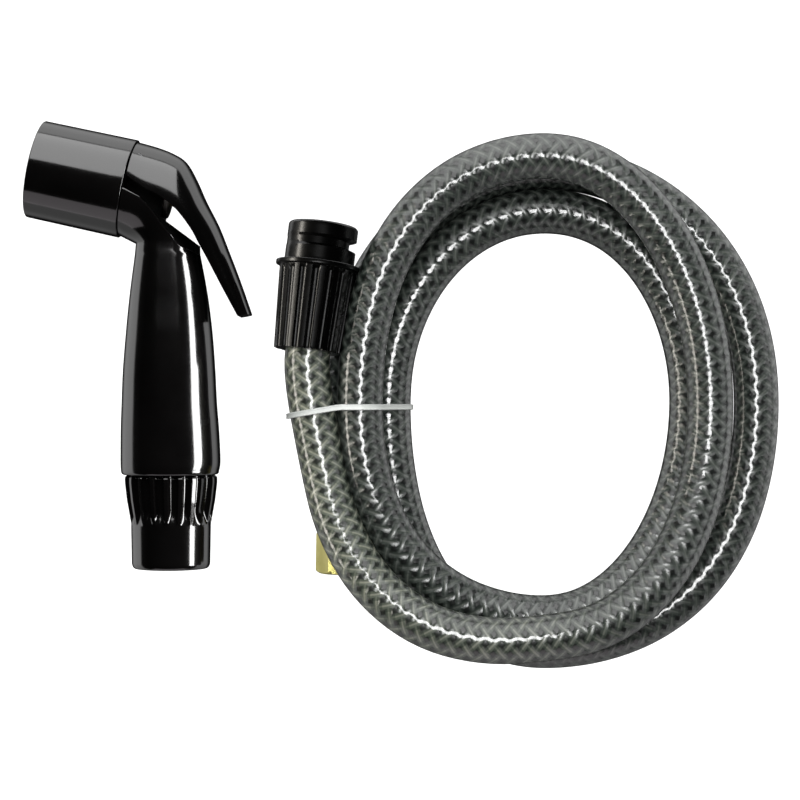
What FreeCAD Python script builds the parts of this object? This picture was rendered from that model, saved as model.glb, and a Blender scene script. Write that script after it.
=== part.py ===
"""Hand-held bath sprayer with its coiled hose, in millimetres.

The kit lies on a surface. +X runs to the right and +Y up as one looks down on
it, and +Z points away from the surface. The origin is below the middle of the
handset. The handset lies on its side, so its plane of symmetry is parallel to
the surface.
"""
import FreeCAD
import Part
import math
import os

V = FreeCAD.Vector
UP = V(0, 0, 1)

# Handset: head, measured along its own axis from the front rim backwards
head_front_x = -28.84
head_front_y = 49.75
head_tilt_deg = 12.2
cap_length = 26.7
cap_front_radius = 13.8
cap_rear_radius = 14.0
cap_wall = 1.9
cap_lip_radius = 11.2
cap_lip_depth = 1.1
cap_edge_round = 0.8
seam_gap = 0.25
spigot_start = 13.5
spigot_gap = 0.15
ring_inset = 0.65
ring_end = 31.0
barrel_step = 0.8
barrel_rear_radius = 8.8
barrel_end = 38.0
elbow_radius = 13.6
elbow_along = 29.5
core_half_width = 7.2

# Handset outlines, as (along, above) on the head's axis: the ledge below the lever's hood,
# and the core that carries the barrel
ledge_line = ((20.0, -0.7), (27.4, -0.9), (31.8, -2.2), (35.4, -4.6), (38.9, -7.9), (45.0, -12.7), (56.0, -15.0))
core_outline = ((27.2, 0), (37.9, 0), (37.9, -6.3), (49.0, -11.4), (50.0, -14.8), (44.0, -20.0), (30.0, -14.0))

cap_seal_along = 16.1
cap_seal_groove_width = 2.2
cap_seal_groove_depth = 1.3

# Handset: grip and neck
handset_height = 14.1
grip_bottom_y = -36.4
grip_hollow_bottom = -29.5
grip_hollow_radius = 11.0
grip_hollow_length = 42.0
waterway_radius = 4.2
socket_radius = 10.2
socket_depth = 7.0

# Valve, measured along the head axis
front_chamber_radius = 8.6
seat_front = 20.5
seat_rear = 22.6
orifice_radius = 4.2
inlet_chamber_radius = 6.2
inlet_chamber_end = 27.0
stem_radius = 2.0
stem_clearance = 0.08
gland_start = 30.2
gland_radius = 4.2
bush_clearance = 0.05
stem_dome_radius = 4.0
stem_dome_centre = 40.0
stem_dome_rim = 2.6
valve_disc_thickness = 2.0
valve_disc_radius = 6.4
clip_thickness = 0.8
clip_radius = 3.6
spring_wire = 0.45
spring_quarters = 10
spring_radius = 5.2
guide_thickness = 1.6
face_thickness = 2.0
face_holes_per_ring = (1, 6, 12, 18)
face_ring_pitch = 2.7
face_hole_radius = 0.55
soft_gap = 0.05
ellipse_points = 12

# Trigger lever
pivot_along = 29.2
pivot_above = 8.5
pin_radius = 1.0
pin_clearance = 0.05
pin_end_gap = 0.15
pin_half_length = 10.1
lever_wall = 1.6
lever_pad_face = 44.06
lever_pad_half = 2.6
lever_boss_radius = 2.2
lever_boss_start = 9.5

lever_parts = 3
arch_steps = 16

# Lever sections: top point (along, above), skirt edge (along, above), half width, squareness
lever_stations = (
    (27.1, cap_front_radius - 0.35, 27.9, 2.7, cap_front_radius - 0.6, 2.0),
    (32.6, cap_front_radius - 0.7, 32.2, 0.5, cap_front_radius - 0.7, 2.0),
    (37.3, cap_front_radius - 1.5, 37.2, -0.9, cap_front_radius - 1.2, 2.1),
    (41.2, 10.7, 41.5, -2.9, 12.0, 2.2),
    (44.9, 6.7, 45.0, -5.6, 11.2, 2.3),
    (49.0, 1.1, 47.9, -8.4, 10.3, 2.4),
    (53.8, -4.8, 50.0, -11.0, 9.4, 2.5),
    (57.9, -10.9, 53.1, -14.6, 8.6, 2.6),
    (62.9, -18.6, 58.7, -21.4, 7.9, 2.7),
    (68.2, -27.3, 64.8, -28.6, 7.2, 2.8),
)

# Hose collar at the foot of the grip
collar_length = 26.4
collar_top_radius = 13.0
collar_waist_radius = 11.1
collar_taper_length = 14.0
collar_round = 1.3
collar_bore_radius = 10.0
collar_neck_bore_radius = 6.6
collar_flutes = 20
collar_flute_radius = 1.8
collar_flute_reach = 11.25
collar_neck_radius = 10.0
collar_neck_length = 5.0
collar_axis_x = 9.2
collar_seat = 7.0
collar_relief = 0.35
washer_thickness = 1.8
screen_thickness = 0.8

# Hose and its coil
hose_diameter = 12.7
hose_bore = 6.4
coil_centre_x = 114.7
coil_centre_y = -15.4
end_run = 13.5
fitting_run = 8.0

# Where the coil's centre line passes each side of each turn: how far out it is, how high,
# and how much its way there leans outwards and upwards. The first turn starts at the coupling.
coil_stations = (
    ("bottom", 64.61, 30.86, -0.062, -0.039),
    ("right", 43.38, 19.97, -0.022, 0.002),
    ("top", 67.72, 19.82, 0.008, 0.0),
    ("left", 51.31, 20.68, 0.012, 0.031),
    ("bottom", 61.1, 17.19, -0.026, -0.077),
    ("right", 42.52, 6.49, 0.001, -0.003),
    ("top", 53.89, 6.47, -0.026, 0.001),
    ("left", 44.12, 7.45, -0.012, -0.036),
    ("bottom", 69.78, 6.48, 0.02, 0.006),
    ("right", 60.45, 6.49, -0.017, 0.001),
    ("top", 67.45, 6.44, -0.008, 0.0),
    ("left", 57.69, 7.49, 0.012, 0.043),
)

# Coupling at the first end of the hose
coupling_foot = V(48.1, -1.8, 20.06)
coupling_tilt_deg = 7.0
coupling_pitch_deg = 4.0
coupling_length = 35.8
spigot_top_length = 4.6
groove_width = 1.7
groove_offset = 0.95
coupling_spigot_radius = 9.8
coupling_spigot_length = 11.2
flange_radius = 12.0
flange_thickness = 1.2
skirt_top_radius = 10.9
skirt_foot_radius = 9.6
skirt_flutes = 18
skirt_flute_radius = 1.1
skirt_bore_radius = 6.75
hose_in_skirt = 14.0
tail_bore_radius = 2.2
tail_flange_radius = 7.4
tail_flange_thickness = 2.0
tail_barb_radius = 3.15
tail_barbs = 4
tail_barb_pitch = 2.6
tail_nose_radius = 5.0
coupling_washer_thickness = 1.6
ferrule_wall = 0.6

# Brass end of the hose
fitting_foot = V(57.4, -64.9, 7.2)
fitting_tilt_deg = 1.0
nut_length = 12.0
nut_across_flats = 13.4
nut_bore_radius = 4.6
nut_chamfer = 0.8
nut_back_wall = 1.6
nut_relief = 0.6
nut_thread_length = 5.0
nut_float = 0.3
nut_running_clearance = 0.08
end_ferrule_radius = 7.1
end_ferrule_length = 14.0
end_tail_collar_radius = 4.5
end_tail_collar_length = 2.0
end_tail_neck_radius = 3.6
end_tail_neck_gap = 1.2
end_washer_thickness = 1.6

# Tie round the coil
tie_y = -18.4
tie_width = 2.3
tie_thickness = 0.7
tie_gap = 0.12


# Sizes that follow from the ones above
spigot_radius = cap_front_radius - cap_wall - spigot_gap
ring_radius = spigot_radius - ring_inset


def unit(v):
    """Return v with length one."""
    w = V(v)
    w.normalize()
    return w


def turned(profile, base, axis):
    """Turn a profile of (along, radius) points round an axis through base."""
    points = [V(radius, 0, along) for along, radius in profile]
    face = Part.Face(Part.makePolygon(points + [points[0]]))
    solid = face.revolve(V(0, 0, 0), UP, 360)
    solid.Placement = FreeCAD.Placement(base, FreeCAD.Rotation(UP, axis))
    return solid


def rod(base, axis, length, radius):
    """Return a round bar that starts at base and runs along axis."""
    return Part.makeCylinder(radius, length, base, axis)


def ring(base, axis, length, outer, inner):
    """Return a tube that starts at base and runs along axis."""
    bore = rod(base - axis, axis, length + 2, inner)
    return rod(base, axis, length, outer).cut(bore)


def round_ring(centre, axis, mean_radius, section_radius):
    """Return an O-ring."""
    return Part.makeTorus(mean_radius, section_radius, centre, axis)


def flatten(shape):
    """Return the one solid inside a shape."""
    clean = shape.removeSplitter()
    solids = clean.Solids
    solids.sort(key=lambda s: s.Volume)
    return solids[-1]


# The head's own axis: "back" runs from the front rim to the rear, "above" is its upward normal
back = V(math.cos(math.radians(head_tilt_deg)), -math.sin(math.radians(head_tilt_deg)), 0)
above = V(-back.y, back.x, 0)
head_front = V(head_front_x, head_front_y, handset_height)


def head_point(along, height, side=0.0):
    """Return a point given along the head axis, above it and to its side."""
    return head_front + back * along + above * height + UP * side


def section_loft(sections):
    """Loft through ellipses given by two opposite points and a half width in z."""
    wires = []
    for near, far, half_width in sections:
        centre = (near + far) * 0.5
        half = (far - near) * 0.5
        points = []
        for step in range(ellipse_points):
            angle = 2 * math.pi * step / ellipse_points
            points.append(centre + half * math.cos(angle) + UP * (half_width * math.sin(angle)))
        curve = Part.BSplineCurve()
        curve.interpolate(Points=points, PeriodicFlag=True)
        wires.append(Part.Wire([curve.toShape()]))
    return Part.makeLoft(wires, True, False)


def grip_sections():
    """Return the grip's sections: front, back and half width."""
    z = handset_height
    grip = (
        (grip_bottom_y, -4.75, 22.7, 13.8),
        (-30.0, -4.95, 23.1, 14.05),
        (-16.0, -4.7, 22.3, 13.5),
        (0.0, -3.8, 21.2, 12.5),
        (14.0, -2.45, 19.6, 11.1),
        (28.6, -0.71, 17.1, 9.6),
        (40.0, 0.6, 14.5, 8.8),
    )
    return [(V(front, y, z), V(rear, y, z), half_width) for y, front, rear, half_width in grip]


def elbow_dome():
    """Return the ball behind the seam, where the head turns into the neck."""
    ball = Part.makeSphere(elbow_radius, head_point(elbow_along, 0))
    front = rod(head_point(0, 0), back, cap_length + seam_gap, elbow_radius + 2)
    return ball.cut(front)


def side_prism(points, half_width):
    """Extrude a side outline, given in head coordinates, equally to both sides."""
    corners = [head_point(along, height, -half_width) for along, height in points]
    face = Part.Face(Part.makePolygon(corners + [corners[0]]))
    return face.extrude(UP * (2 * half_width))


def handle_body():
    """Return the moulded grip, neck, valve barrel and threaded spigot for the cap."""
    shell = section_loft(grip_sections()).fuse(elbow_dome())
    clear = 2 * cap_rear_radius
    above_ledge = ledge_line + ((ledge_line[-1][0], clear), (ledge_line[0][0], clear))
    shell = shell.cut(side_prism(above_ledge, clear))
    core = side_prism(core_outline, core_half_width)
    seam = cap_length + seam_gap
    barrel = turned(
        (
            (spigot_start, 0),
            (spigot_start, spigot_radius),
            (seam, spigot_radius),
            (seam, ring_radius),
            (ring_end, ring_radius),
            (ring_end, ring_radius - barrel_step),
            (barrel_end, barrel_rear_radius),
            (barrel_end, 0),
        ),
        head_front,
        back,
    )
    body = shell.fuse(core).fuse(barrel)
    z = handset_height
    foot = V(collar_axis_x - 0.2, grip_hollow_bottom, z)
    hollow_top_radius = waterway_radius + 2.4
    hollow = Part.makeCone(grip_hollow_radius, hollow_top_radius, grip_hollow_length, foot, V(0, 1, 0))
    body = body.cut(hollow)
    channel_start = V(8.6, 12.0, z)
    channel_bend = V(8.2, 26.0, z)
    channel_end = head_point(24.8, 0)
    for start, end in ((channel_start, channel_bend), (channel_bend, channel_end)):
        body = body.cut(rod(start, unit(end - start), (end - start).Length, waterway_radius))
    body = body.cut(Part.makeSphere(waterway_radius, channel_bend))
    valve_bore = turned(
        (
            (spigot_start - 1, 0),
            (spigot_start - 1, front_chamber_radius),
            (seat_front, front_chamber_radius),
            (seat_front, orifice_radius),
            (seat_rear, orifice_radius),
            (seat_rear, inlet_chamber_radius),
            (inlet_chamber_end, inlet_chamber_radius),
            (inlet_chamber_end, stem_radius + stem_clearance),
            (gland_start, stem_radius + stem_clearance),
            (gland_start, gland_radius),
            (barrel_end + 1, gland_radius),
            (barrel_end + 1, 0),
        ),
        head_front,
        back,
    )
    body = body.cut(valve_bore)
    groove_start = cap_seal_along - cap_seal_groove_width / 2
    groove_floor = spigot_radius - cap_seal_groove_depth
    seal_groove = ring(head_point(groove_start, 0), back, cap_seal_groove_width, spigot_radius + 2, groove_floor)
    body = body.cut(seal_groove)
    pin_hole = rod(head_point(pivot_along, pivot_above, -15), UP, 30, pin_radius)
    body = body.cut(pin_hole)
    socket = V(collar_axis_x, grip_bottom_y - 1, z)
    body = body.cut(rod(socket, V(0, 1, 0), socket_depth + 1, socket_radius))
    return flatten(body)


def spray_cap():
    """Return the tube that screws over the spigot and holds the spray face."""
    bore = cap_front_radius - cap_wall
    profile = (
        (0, cap_lip_radius),
        (0, cap_front_radius - cap_edge_round),
        (0.25, cap_front_radius - 0.25),
        (cap_edge_round, cap_front_radius),
        (cap_length - 0.3, cap_rear_radius),
        (cap_length, cap_rear_radius - 0.3),
        (cap_length, bore),
        (cap_lip_depth, bore),
        (cap_lip_depth, cap_lip_radius),
    )
    return turned(profile, head_front, back)


def spray_face():
    """Return the perforated spray face behind the cap's lip."""
    start = cap_lip_depth + soft_gap
    radius = cap_front_radius - cap_wall - 0.1
    face = turned(
        (
            (start, 0),
            (start, cap_lip_radius - 0.4),
            (start, radius),
            (start + face_thickness, radius),
            (start + face_thickness, 0),
        ),
        head_front,
        back,
    )
    dish = turned(
        (
            (start - 0.5, 0),
            (start - 0.5, 9.9),
            (start, 9.9),
            (start + 0.7, 9.2),
            (start + 0.7, 0),
        ),
        head_front,
        back,
    )
    holes = []
    for number, count in enumerate(face_holes_per_ring):
        for step in range(count):
            angle = 2 * math.pi * step / count
            across = number * face_ring_pitch
            foot = head_point(0, across * math.cos(angle), across * math.sin(angle))
            holes.append(rod(foot, back, 6, face_hole_radius))
    return flatten(face.cut(dish).cut(Part.makeCompound(holes)))


def face_seal():
    """Return the flat ring that seals the spray face against the spigot."""
    start = cap_lip_depth + face_thickness + 2 * soft_gap
    radius = cap_front_radius - cap_wall - 0.15
    return ring(head_point(start, 0), back, spigot_start - start - soft_gap, radius, radius - 1.8)


def cap_seal():
    """Return the O-ring in the spigot's groove."""
    section = (cap_seal_groove_depth + spigot_gap) / 2 - soft_gap
    mean = spigot_radius - cap_seal_groove_depth + soft_gap + section
    return round_ring(head_point(cap_seal_along, 0), back, mean, section)


def spring_guide():
    """Return the spider that carries the spring's front end inside the spigot."""
    front = spigot_start + 0.1
    outer = front_chamber_radius - soft_gap
    plate = rod(head_point(front, 0), back, guide_thickness, outer)
    hub = rod(head_point(front, 0), back, guide_thickness + 1.2, spring_radius - spring_wire / 2 - 0.15)
    guide = plate.fuse(hub)
    for step in range(6):
        angle = math.pi / 3 * step
        across = 6.3
        foot = head_point(front - 1, across * math.cos(angle), across * math.sin(angle))
        guide = guide.cut(rod(foot, back, 6, 1.5))
    guide = guide.cut(rod(head_point(front - 1, 0), back, 8, stem_radius + 0.5))
    return flatten(guide)


def valve_spring():
    """Return the coil spring that closes the valve."""
    start = spigot_start + 0.1 + guide_thickness + spring_wire / 2 + soft_gap
    end = seat_front - valve_disc_thickness - clip_thickness - spring_wire / 2 - 2 * soft_gap
    rise = (end - start) / spring_quarters
    stations = []
    for step in range(spring_quarters + 1):
        angle = math.pi / 2 * step
        outward = above * math.cos(angle) + UP * math.sin(angle)
        onward = UP * math.cos(angle) - above * math.sin(angle)
        point = head_point(start + rise * step, 0) + outward * spring_radius
        stations.append((point, unit(onward * (spring_radius * math.pi / 2) + back * rise)))
    edges = []
    for (p0, w0), (p1, w1) in zip(stations, stations[1:]):
        edges += biarc(p0, w0, p1, w1)[0]
    return swept(edges, spring_wire / 2)


def valve_stem():
    """Return the stem that the lever pushes, with its domed head and its clip shoulder."""
    front = spigot_start + guide_thickness + 0.3
    dome_tip = stem_dome_centre + stem_dome_radius
    points = []
    rim_angle = math.asin(stem_dome_rim / stem_dome_radius)
    steps = 5
    for step in range(steps + 1):
        angle = rim_angle * (1 - step / steps)
        along = stem_dome_centre + stem_dome_radius * math.cos(angle)
        points.append((along, stem_dome_radius * math.sin(angle)))
    head_start = points[0][0] - 1.4
    profile = [(front, 0), (front, stem_radius), (head_start, stem_radius), (head_start, stem_dome_rim)]
    profile += points[:-1] + [(dome_tip, 0)]
    return turned(profile, head_front, back)


def valve_disc():
    """Return the rubber disc that closes on the seat."""
    start = seat_front - valve_disc_thickness - soft_gap
    return ring(head_point(start, 0), back, valve_disc_thickness, valve_disc_radius, stem_radius)


def valve_clip():
    """Return the washer-shaped clip that holds the disc on the stem."""
    start = seat_front - valve_disc_thickness - clip_thickness - soft_gap
    return ring(head_point(start, 0), back, clip_thickness, clip_radius + 2.2, stem_radius)


def stem_seal():
    """Return the O-ring round the stem at the bottom of the gland."""
    section = (gland_radius - stem_radius) / 2 - soft_gap
    centre = head_point(gland_start + section + soft_gap, 0)
    return round_ring(centre, back, (gland_radius + stem_radius) / 2, section)


def gland_bush():
    """Return the flanged bush that holds the stem's O-ring in the gland."""
    section = (gland_radius - stem_radius) / 2
    start = gland_start + 2 * section + 0.1
    bore = stem_radius + bush_clearance
    return turned(
        (
            (start, bore),
            (start, gland_radius),
            (barrel_end, gland_radius),
            (barrel_end, gland_radius + 1.6),
            (barrel_end + 1.0, gland_radius + 1.6),
            (barrel_end + 1.0, bore),
        ),
        head_front,
        back,
    )


def between(rows, parts):
    """Return rows of numbers with others between them, on a smooth line through all."""
    result = []
    for index in range(len(rows) - 1):
        before, here, after = rows[max(index - 1, 0)], rows[index], rows[index + 1]
        beyond = rows[min(index + 2, len(rows) - 1)]
        for part in range(parts):
            f = part / parts
            row = []
            for a, b, c, d in zip(before, here, after, beyond):
                bend = (2 * a - 5 * b + 4 * c - d) * f * f + (3 * b - a - 3 * c + d) * f ** 3
                row.append(0.5 * (2 * b + (c - a) * f + bend))
            result.append(tuple(row))
    result.append(tuple(rows[-1]))
    return result


def arch_wire(top, edge, half_width, square):
    """Return an arch that stands on the skirt edge and reaches the top point."""
    rise = head_point(*top) - head_point(*edge)
    foot = head_point(*edge)
    points = []
    for step in range(arch_steps + 1):
        angle = math.pi * step / arch_steps
        side = math.copysign(abs(math.cos(angle)) ** (2 / square), math.cos(angle)) * half_width
        lift = abs(math.sin(angle)) ** (2 / square)
        points.append(foot + UP * side + rise * lift)
    return Part.makePolygon(points + [points[0]])


def lever_rows(inset):
    """Return the lever's sections, drawn in by inset and open below and at both ends."""
    rows = []
    for top_s, top_r, edge_s, edge_r, half_width, square in between(lever_stations, lever_parts):
        step = unit(V(top_s - edge_s, top_r - edge_r, 0)) * inset
        if inset:
            edge_s, edge_r = edge_s - step.x * 1.2, edge_r - step.y * 1.2
        rows.append(((top_s - step.x, top_r - step.y), (edge_s, edge_r), half_width - inset, square))
    return rows


def trigger_lever():
    """Return the hooded thumb lever with its pivot bosses and the pad that meets the stem."""
    outer = Part.makeLoft([arch_wire(*row) for row in lever_rows(0)], True, True)
    inner_rows = lever_rows(lever_wall)
    (top_s, top_r), (edge_s, edge_r), half_width, square = inner_rows[0]
    inner_rows[0] = ((top_s - 1.5, top_r), (edge_s - 1.5, edge_r), half_width, square)
    hollow = Part.makeLoft([arch_wire(*row) for row in inner_rows[:-2]], True, True)
    pad = side_prism(
        (
            (lever_pad_face, -lever_pad_half),
            (lever_pad_face, lever_pad_half),
            (lever_pad_face + 6.4, lever_pad_half),
            (lever_pad_face + 7.4, -lever_pad_half),
        ),
        lever_pad_half,
    )
    bosses = []
    for side in (-1, 1):
        foot = head_point(pivot_along, pivot_above, side * lever_boss_start)
        bosses.append(rod(foot, UP * side, 6, lever_boss_radius))
    lever = outer.cut(hollow)
    for extra in [pad] + bosses:
        lever = lever.fuse(extra.common(outer))
    socket = pin_half_length + pin_end_gap
    foot = head_point(pivot_along, pivot_above, -socket)
    return flatten(lever.cut(rod(foot, UP, 2 * socket, pin_radius + pin_clearance)))


def lever_pin():
    """Return the lever's hinge pin."""
    return rod(head_point(pivot_along, pivot_above, -pin_half_length), UP, 2 * pin_half_length, pin_radius)


def collar_frame():
    """Return the foot of the grip on the collar's axis, and the way down from it."""
    return V(collar_axis_x, grip_bottom_y, handset_height), V(0, -1, 0)


def hose_collar():
    """Return the fluted collar that takes the hose coupling."""
    top, down = collar_frame()
    reach = collar_top_radius - 0.9
    profile = (
        (-collar_neck_length, collar_neck_radius),
        (0, collar_neck_radius),
        (0, reach),
        (0.9, collar_top_radius),
        (2.2, collar_top_radius),
        (collar_taper_length, collar_waist_radius),
        (collar_length - collar_round, collar_waist_radius - 0.1),
        (collar_length - 0.35 * collar_round, collar_waist_radius - 0.1 - 0.35 * collar_round),
        (collar_length, collar_waist_radius - 0.1 - 0.75 * collar_round),
        (collar_length, 0),
        (-collar_neck_length, 0),
    )
    body = turned(profile, top, down)
    flutes = []
    for step in range(collar_flutes):
        angle = 2 * math.pi * (step + 0.5) / collar_flutes
        across = collar_flute_reach + collar_flute_radius
        foot = top + V(across * math.cos(angle), -0.9, across * math.sin(angle))
        flutes.append(rod(foot, down, collar_length, collar_flute_radius))
    body = body.cut(Part.makeCompound(flutes))
    body = body.cut(rod(top + down * collar_seat, down, collar_length, collar_bore_radius))
    relief = washer_thickness + 2 * soft_gap
    body = body.cut(rod(top + down * collar_seat, down, relief, collar_bore_radius + collar_relief))
    body = body.cut(rod(top - down * (collar_neck_length + 1), down, collar_length, collar_neck_bore_radius))
    return flatten(body)


def inlet_washer():
    """Return the flat washer at the bottom of the collar's socket."""
    top, down = collar_frame()
    outer = collar_bore_radius - 0.3
    hole = collar_neck_bore_radius - 1.0
    return ring(top + down * (collar_seat + soft_gap), down, washer_thickness, outer, hole)


def inlet_screen():
    """Return the strainer disc that lies in the mouth of the collar's neck."""
    top, down = collar_frame()
    start = top - down * (collar_neck_length + 0.1 + screen_thickness)
    screen = rod(start, down, screen_thickness, 8.6)
    holes = []
    pitch = 1.9
    for row in range(-3, 4):
        for column in range(-3, 4):
            if row * row + column * column <= 9:
                foot = start - down + V(row * pitch, 0, column * pitch)
                holes.append(rod(foot, down, 4, 0.6))
    return flatten(screen.cut(Part.makeCompound(holes)))


def coupling_frame():
    """Return the coupling's foot, the way from it towards the spigot, and the way out of the hose."""
    tilt = math.radians(coupling_tilt_deg)
    pitch = math.radians(coupling_pitch_deg)
    level = V(math.sin(tilt), math.cos(tilt), 0)
    toward_spigot = unit(level * math.cos(pitch) - UP * math.sin(pitch))
    return coupling_foot, toward_spigot


def coupling_sleeve():
    """Return the fluted sleeve with its flange and grooved spigot."""
    foot, axis = coupling_frame()
    total = coupling_length
    spigot_foot = total - coupling_spigot_length
    skirt_top = spigot_foot - flange_thickness
    hose_stop = hose_in_skirt + 1.0
    profile = (
        (0, skirt_bore_radius),
        (0, skirt_foot_radius),
        (skirt_top, skirt_top_radius),
        (skirt_top, flange_radius),
        (spigot_foot, flange_radius),
        (spigot_foot, coupling_spigot_radius),
        (total - 0.8, coupling_spigot_radius),
        (total, coupling_spigot_radius - 0.8),
        (total, 8.0),
        (total - coupling_washer_thickness - 0.4, 8.0),
        (total - coupling_washer_thickness - 0.4, tail_nose_radius + 0.3),
        (hose_stop + tail_flange_thickness + 0.6, tail_nose_radius + 0.3),
        (hose_stop + tail_flange_thickness + 0.6, tail_flange_radius + 0.3),
        (hose_stop - 0.4, tail_flange_radius + 0.3),
        (hose_stop - 0.4, skirt_bore_radius),
    )
    body = turned(profile, foot, axis)
    side = axis.cross(UP)
    side.normalize()
    groove_start = foot + axis * (total - spigot_top_length - groove_width)
    groove = rod(groove_start, axis, groove_width, coupling_spigot_radius + 3)
    keep_radius = coupling_spigot_radius - groove_offset - 0.15
    keep = rod(groove_start - axis - side * groove_offset, axis, groove_width + 2, keep_radius)
    body = body.cut(groove.cut(keep))
    flutes = []
    lean = math.atan2(skirt_top_radius - skirt_foot_radius, skirt_top)
    for step in range(skirt_flutes):
        angle = 2 * math.pi * (step + 0.5) / skirt_flutes
        outward = side * math.cos(angle) + side.cross(axis) * math.sin(angle)
        start = foot + outward * (skirt_foot_radius + skirt_flute_radius * 0.42)
        way = unit(axis + outward * math.tan(lean))
        flutes.append(rod(start - way * 2, way, skirt_top + 1.4, skirt_flute_radius))
    return flatten(body.cut(Part.makeCompound(flutes)))


def barbed_tail(base, axis, bore, collar_profile, barb_length):
    """Return a tube with barbs that enter the hose and a collar of the given profile."""
    profile = [(0, bore), (0, tail_barb_radius - 0.7)]
    root = tail_barb_radius - 0.5
    for step in range(tail_barbs):
        start = barb_length - (tail_barbs - step) * tail_barb_pitch
        profile.append((start, root))
        profile.append((start + tail_barb_pitch * 0.85, tail_barb_radius))
        profile.append((start + tail_barb_pitch * 0.85, root))
    profile += [(barb_length, root)] + list(collar_profile)
    end = profile[-1][0]
    profile.append((end, bore))
    return turned(profile, base, axis)


def hose_tail():
    """Return the barbed insert that joins the hose to the coupling."""
    foot, axis = coupling_frame()
    barb_length = tail_barbs * tail_barb_pitch + 1.0
    base = foot + axis * (hose_in_skirt - barb_length)
    total = coupling_length - hose_in_skirt - coupling_washer_thickness - 0.4 + barb_length
    flange = barb_length + 1.0
    return barbed_tail(
        base,
        axis,
        tail_bore_radius,
        (
            (barb_length, 6.2),
            (flange, 6.2),
            (flange, tail_flange_radius),
            (flange + tail_flange_thickness, tail_flange_radius),
            (flange + tail_flange_thickness, tail_nose_radius),
            (total - 1.6, tail_nose_radius),
            (total - 1.6, tail_nose_radius - 0.7),
            (total - 0.6, tail_nose_radius - 0.7),
            (total - 0.6, tail_nose_radius),
            (total, tail_nose_radius),
        ),
        barb_length,
    )


def snap_ring():
    """Return the open wire ring that keeps the sleeve on the hose tail."""
    foot, axis = coupling_frame()
    start = foot + axis * (coupling_length - coupling_washer_thickness - 0.4 - 1.5)
    clip = ring(start, axis, 0.8, tail_nose_radius + 0.2, tail_nose_radius - 0.68)
    slot = rod(start + UP * 5 - axis * 2, axis, 5, 1.2)
    return flatten(clip.cut(slot))


def coupling_washer():
    """Return the flat seal in the mouth of the spigot."""
    foot, axis = coupling_frame()
    start = foot + axis * (coupling_length - coupling_washer_thickness - 0.3)
    return ring(start, axis, coupling_washer_thickness, 7.75, 3.2)


def arc_edge(start, tangent, end):
    """Return the arc from start to end that leaves along tangent, with its radius."""
    chord = end - start
    length = chord.Length
    along = unit(chord)
    side = tangent - along * tangent.dot(along)
    bend = math.atan2(side.Length, tangent.dot(along))
    if side.Length < 1e-6:
        return Part.makeLine(start, end), 1e9
    middle = (start + end) * 0.5 + unit(side) * (length / 2 * math.tan(bend / 2))
    return Part.Arc(start, middle, end).toShape(), length / 2 / math.sin(bend)


def biarc(start, start_way, end, end_way):
    """Return the two arcs that join two points with given directions, and their radii."""
    chord = end - start
    ways = start_way + end_way
    square = 2 * (1 - start_way.dot(end_way))
    slope = chord.dot(ways)
    reach = (-slope + math.sqrt(slope * slope + square * chord.dot(chord))) / square
    middle = (start + end + (start_way - end_way) * reach) * 0.5
    middle_way = unit(chord - ways * reach)
    first, first_radius = arc_edge(start, start_way, middle)
    second, second_radius = arc_edge(middle, middle_way, end)
    return [first, second], [first_radius, second_radius]


def coil_route():
    """Return the coil's points and directions, one each quarter turn."""
    sides = {"left": V(-1, 0, 0), "bottom": V(0, -1, 0), "right": V(1, 0, 0), "top": V(0, 1, 0)}
    route = []
    for side, reach, height, lean, climb in coil_stations:
        out = sides[side]
        onward = V(-out.y, out.x, 0)
        point = V(coil_centre_x, coil_centre_y, height) + out * reach
        route.append((point, unit(onward * math.cos(lean) + out * math.sin(lean) + UP * climb)))
    return route


def hose_path():
    """Return the hose's path: straight ends joined by arcs, and the radii of the arcs."""
    foot, toward = coupling_frame()
    start = foot + toward * hose_in_skirt
    leave = foot - toward * end_run
    fitting, into = fitting_frame()
    arrive = fitting - into * (nut_length + end_ferrule_length + fitting_run)
    stop = fitting - into * (nut_length + end_tail_neck_gap)
    stations = [(leave, toward * -1)] + coil_route() + [(arrive, into)]
    edges = [Part.makeLine(start, leave)]
    radii = []
    for (p0, w0), (p1, w1) in zip(stations, stations[1:]):
        found, sizes = biarc(p0, unit(w0), p1, unit(w1))
        edges += found
        radii += sizes
    edges.append(Part.makeLine(arrive, stop))
    return edges, radii


def path_points(edges, spacing):
    """Return points along the edges, about evenly spaced."""
    points = []
    for edge in edges:
        count = max(2, int(edge.Length / spacing))
        points += edge.discretize(count + 1)[:-1]
    return points


def least_gap(edges, diameter):
    """Return the least gap between stretches of the hose that aren't neighbours."""
    spacing = 1.5
    points = path_points(edges, spacing)
    skip = int(3.0 * diameter / spacing)
    least = 1e9
    place = None
    for first in range(len(points)):
        for second in range(first + skip, len(points)):
            gap = points[first].distanceToPoint(points[second]) - diameter
            if gap < least:
                least = gap
                place = (first, second)
    return least, place, points


def swept(edges, radius):
    """Return the pipe of the given radius along the edges."""
    wire = Part.Wire(edges)
    start = edges[0].valueAt(edges[0].FirstParameter)
    way = edges[0].tangentAt(edges[0].FirstParameter)
    profile = Part.Wire([Part.makeCircle(radius, start, way)])
    shell = Part.BRepOffsetAPI.MakePipeShell(wire)
    shell.add(profile)
    shell.build()
    shell.makeSolid()
    return shell.shape()


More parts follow.
